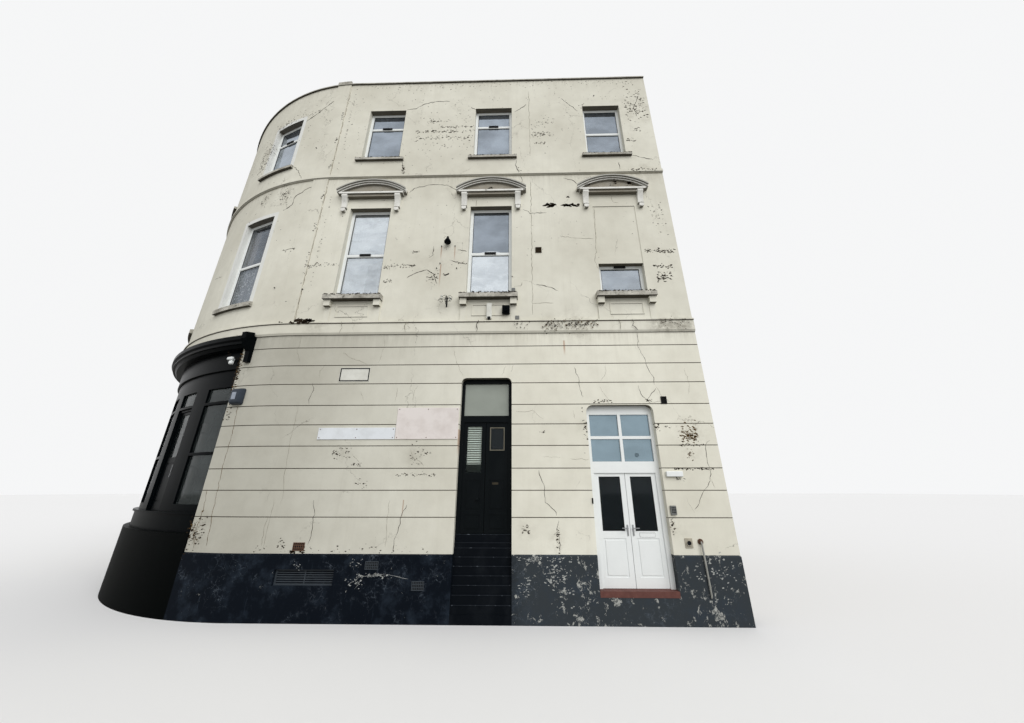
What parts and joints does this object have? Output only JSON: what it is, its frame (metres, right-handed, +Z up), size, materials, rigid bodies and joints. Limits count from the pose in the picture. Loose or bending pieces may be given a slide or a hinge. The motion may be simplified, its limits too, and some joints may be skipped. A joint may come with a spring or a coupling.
{
  "type": "corner shop building",
  "caption": "Tall rendered corner shop building with a rounded corner, a curved black shopfront, a channelled ground floor, hooded sash windows and street doors.",
  "frame": {"origin": "centre of the footprint's bounding box, at the lowest ground level", "axes": "+X along the street front towards the party wall, +Y from the street into the building, +Z up"},
  "size_m": [16.4454, 10.57, 15.175],
  "materials": {
    "painted_render": "cream masonry paint, weathered",
    "party_render": "plain grey render",
    "plinth_paint": "blue-black masonry paint, flaking",
    "weathered_stone": "worn painted stone",
    "floor_boards": "worn boards",
    "roof_felt": "grey felt",
    "white_upvc": "white, satin",
    "window_glass": "clear",
    "black_paint": "black gloss paint",
    "black_masonry": "black masonry paint",
    "red_sill": "brick red paint",
    "rusty_iron": "old dark paint over rust",
    "steel_fittings": "satin"
  },
  "bodies": {
    "building": {"front_wall_left": "painted_render", "front_wall_middle": "painted_render", "front_wall_right": "painted_render", "wall_over_black_door": "painted_render", "wall_over_white_door": "painted_render", "side_wall_ground": "painted_render", "wall_over_shopfront": "painted_render", "front_wall_upper": "painted_render", "side_wall_upper": "painted_render", "corner_wall_upper_1": "painted_render", "corner_wall_upper_2": "painted_render", "corner_wall_upper_3": "painted_render", "floor_band": "painted_render", "string_course": "painted_render", "pilasters": "painted_render", "window_aprons": "painted_render", "party_wall_right": "party_render", "party_wall_back": "party_render", "plinth": "plinth_paint", "white_door_base": "plinth_paint", "window_sills": "weathered_stone", "window_hoods": "weathered_stone", "coping": "weathered_stone", "ground_floors": "floor_boards", "first_floor": "floor_boards", "second_floor": "floor_boards", "roof": "roof_felt", "window_frames": "white_upvc", "white_door_frame": "white_upvc", "window_glass": "window_glass", "black_door_fanlight": "window_glass", "white_door_fanlight": "window_glass", "shop_glass": "window_glass", "black_door_frame": "black_paint", "shop_stallriser": "black_paint", "shop_posts": "black_paint", "shop_rails": "black_paint", "shop_head": "black_paint", "shop_fascia": "black_paint", "shop_cornice": "black_paint", "shop_consoles": "black_paint", "shop_door_frame": "black_paint", "black_door_steps": "black_masonry", "shop_base": "black_masonry", "white_door_sill": "red_sill", "cellar_grille": "rusty_iron"},
    "black_left_leaf": {"black_door_left_leaf": "black_paint", "black_door_left_glass": "window_glass"},
    "black_right_leaf": {"black_door_right_leaf": "black_paint", "black_door_right_glass": "window_glass"},
    "white_left_leaf": {"white_door_left_leaf": "white_upvc", "white_door_left_glass": "window_glass", "white_door_left_handle": "steel_fittings"},
    "white_right_leaf": {"white_door_right_leaf": "white_upvc", "white_door_right_glass": "window_glass", "white_door_right_handle": "steel_fittings"},
    "shop_leaf": {"shop_door_leaf": "black_paint", "shop_door_glass": "window_glass", "shop_door_pull": "steel_fittings"}
  },
  "joints": [
    {"name": "black_left_hinge", "type": "hinge", "parent": "building", "child": "black_left_leaf", "pos_m": [2.82218, -4.86, 0], "axis": [0, 0, 1], "range_deg": [0, 90]},
    {"name": "black_right_hinge", "type": "hinge", "parent": "building", "child": "black_right_leaf", "pos_m": [3.81718, -4.86, 0], "axis": [0, 0, -1], "range_deg": [0, 90]},
    {"name": "white_left_hinge", "type": "hinge", "parent": "building", "child": "white_left_leaf", "pos_m": [5.60168, -4.87, 0], "axis": [0, 0, 1], "range_deg": [0, 90]},
    {"name": "white_right_hinge", "type": "hinge", "parent": "building", "child": "white_right_leaf", "pos_m": [6.89968, -4.87, 0], "axis": [0, 0, -1], "range_deg": [0, 90]},
    {"name": "shop_hinge", "type": "hinge", "parent": "building", "child": "shop_leaf", "pos_m": [-4.72699, -3.80663, 0], "axis": [0, 0, 1], "range_deg": [0, 90]}
  ]
}
